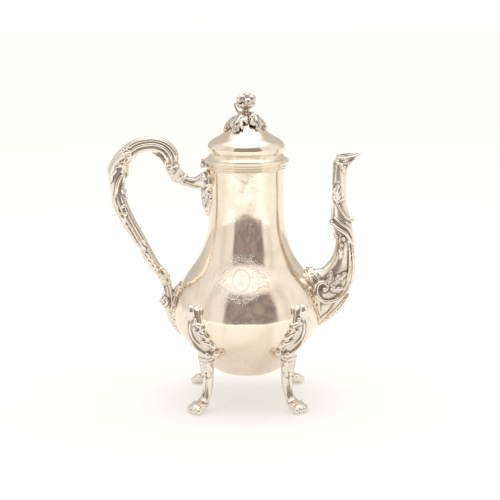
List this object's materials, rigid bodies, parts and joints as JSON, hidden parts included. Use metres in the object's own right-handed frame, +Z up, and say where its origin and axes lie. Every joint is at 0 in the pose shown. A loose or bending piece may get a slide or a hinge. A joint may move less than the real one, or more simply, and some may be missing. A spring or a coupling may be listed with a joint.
{
  "type": "coffee pot",
  "caption": "Silver coffee pot with a baluster body on cast scroll legs, a cast spout, a hinged domed lid with a bud finial, and a scroll handle insulated by rings.",
  "frame": {"origin": "on the table plane, under the middle of the round body, on the body's axis", "axes": "+Z up along the body's axis, +X towards the spout, -X towards the handle, -Y the front"},
  "size_m": [0.2124, 0.124, 0.2595],
  "materials": {
    "silver_sheet": "polished silver sheet, warm with age, finely scratched",
    "silver_cast": "chased cast silver, bright on the ridges and dark in the recesses",
    "ivory": "smooth cream, softly polished"
  },
  "bodies": {
    "pot": {"body_shell": "silver_sheet", "neck_collar": "silver_sheet", "spout": "silver_cast", "leg_front_left": "silver_cast", "leg_front_right": "silver_cast", "leg_rear_left": "silver_cast", "leg_rear_right": "silver_cast", "handle_socket_upper": "silver_cast", "handle_insulator_upper": "ivory", "handle_grip": "silver_cast", "handle_insulator_lower": "ivory", "handle_socket_lower": "silver_cast", "handle_rivets": "silver_sheet", "hinge_knuckles_body": "silver_sheet", "hinge_pin": "silver_sheet"},
    "lid": {"hinge_knuckle_lid": "silver_sheet", "lid_dome": "silver_sheet", "lid_rim": "silver_sheet", "lid_bezel": "silver_sheet", "finial_leaves": "silver_cast", "finial_stem": "silver_cast", "finial_buds": "silver_cast", "finial_nut": "silver_sheet"}
  },
  "joints": [
    {"name": "lid_hinge", "type": "hinge", "parent": "pot", "child": "lid", "pos_m": [-0.0359, 0, 0.201], "axis": [0, -1, 0], "range_deg": [0, 70]}
  ]
}
